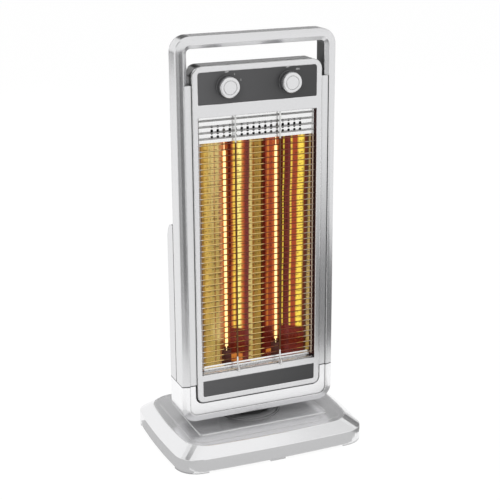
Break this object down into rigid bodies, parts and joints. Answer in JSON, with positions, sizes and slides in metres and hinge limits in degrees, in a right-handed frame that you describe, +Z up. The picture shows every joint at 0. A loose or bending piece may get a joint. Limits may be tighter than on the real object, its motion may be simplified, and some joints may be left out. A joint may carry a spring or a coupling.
{
  "type": "carbon heater",
  "caption": "Tall carbon lamp heater with a carry handle, a wire grille, two rotary knobs and a column that swings on a weighted base.",
  "frame": {"origin": "middle of the base on the floor, on the column's swing axis", "axes": "+Z up along the column, -Y towards the front with the grille and knobs, +X to the right of the front as seen from outside"},
  "size_m": [0.319, 0.24, 0.65],
  "materials": {
    "silver": "satin",
    "dark_panel": "satin",
    "grey_deck": "satin",
    "dark_inner": "matte",
    "dark_steel": "satin",
    "zinc": "satin",
    "wire_chrome": "polished",
    "bright_sheet": "polished",
    "reflector": "polished",
    "quartz": "clear",
    "carbon": "glowing",
    "ceramic": "matte",
    "foot_rubber": "matte",
    "black_plastic": "satin",
    "ballast": "rough",
    "nylon": "satin"
  },
  "bodies": {
    "base": {"base_shell": "silver", "base_top_plate": "grey_deck", "base_bottom_plate": "dark_steel", "ballast_plate": "ballast", "rubber_feet": "foot_rubber", "turntable_boss": "grey_deck", "swing_washer": "nylon", "swing_guide": "zinc", "cord_inlet": "black_plastic", "tip_switch": "black_plastic", "base_screws": "zinc"},
    "column": {"pivot_tube": "black_plastic", "pivot_retainer": "zinc", "bottom_cover": "silver", "front_frame": "silver", "loop_liner": "dark_inner", "left_strip": "silver", "right_strip": "silver", "front_bezel": "silver", "control_plate": "dark_panel", "badge_plate": "dark_panel", "module_shell": "silver", "rear_housing": "silver", "rear_cover": "silver", "side_baffles": "dark_inner", "reflector_left": "reflector", "reflector_right": "reflector", "lamp_tube_left": "quartz", "lamp_tube_right": "quartz", "filament_left": "carbon", "filament_right": "carbon", "lamp_caps_left": "ceramic", "lamp_caps_right": "ceramic", "lamp_clips": "zinc", "vent_plate": "bright_sheet", "lip_plate": "bright_sheet", "grille_wires": "wire_chrome", "grille_stays": "wire_chrome", "grille_rods": "wire_chrome", "power_switch": "black_plastic", "swing_switch": "black_plastic", "thermal_cutout": "black_plastic", "terminal_block": "nylon", "swing_motor": "zinc", "motor_bracket": "zinc", "column_screws": "zinc"},
    "crank": {"swing_crank": "nylon", "motor_shaft": "zinc"},
    "power_knob": {"power_knob": "silver", "power_shaft": "zinc"},
    "swing_knob": {"swing_knob": "silver", "swing_shaft": "zinc"},
    "tip_plunger": {"tip_plunger": "nylon"}
  },
  "joints": [
    {"name": "column_swing", "type": "hinge", "parent": "base", "child": "column", "pos_m": [0, 0, 0.05], "axis": [0, 0, 1], "range_deg": [-35, 35]},
    {"name": "crank_turn", "type": "hinge", "parent": "column", "child": "crank", "pos_m": [0, -0.013, 0.024], "axis": [0, 0, 1], "range_deg": [-110, 110]},
    {"name": "power_knob_turn", "type": "hinge", "parent": "column", "child": "power_knob", "pos_m": [-0.0494, -0.05, 0.57535], "axis": [0, 1, 0], "range_deg": [0, 80]},
    {"name": "swing_knob_turn", "type": "hinge", "parent": "column", "child": "swing_knob", "pos_m": [0.0494, -0.05, 0.57535], "axis": [0, 1, 0], "range_deg": [0, 45]},
    {"name": "tip_plunger_slide", "type": "slide", "parent": "base", "child": "tip_plunger", "axis": [0, 0, -1], "range_m": [0, 0.004], "stiffness_N_per_m": 100, "springref_m": 0.006}
  ],
  "couplings": [
    {"joint": "crank_turn", "follows": "column_swing", "ratio": -3.125}
  ]
}
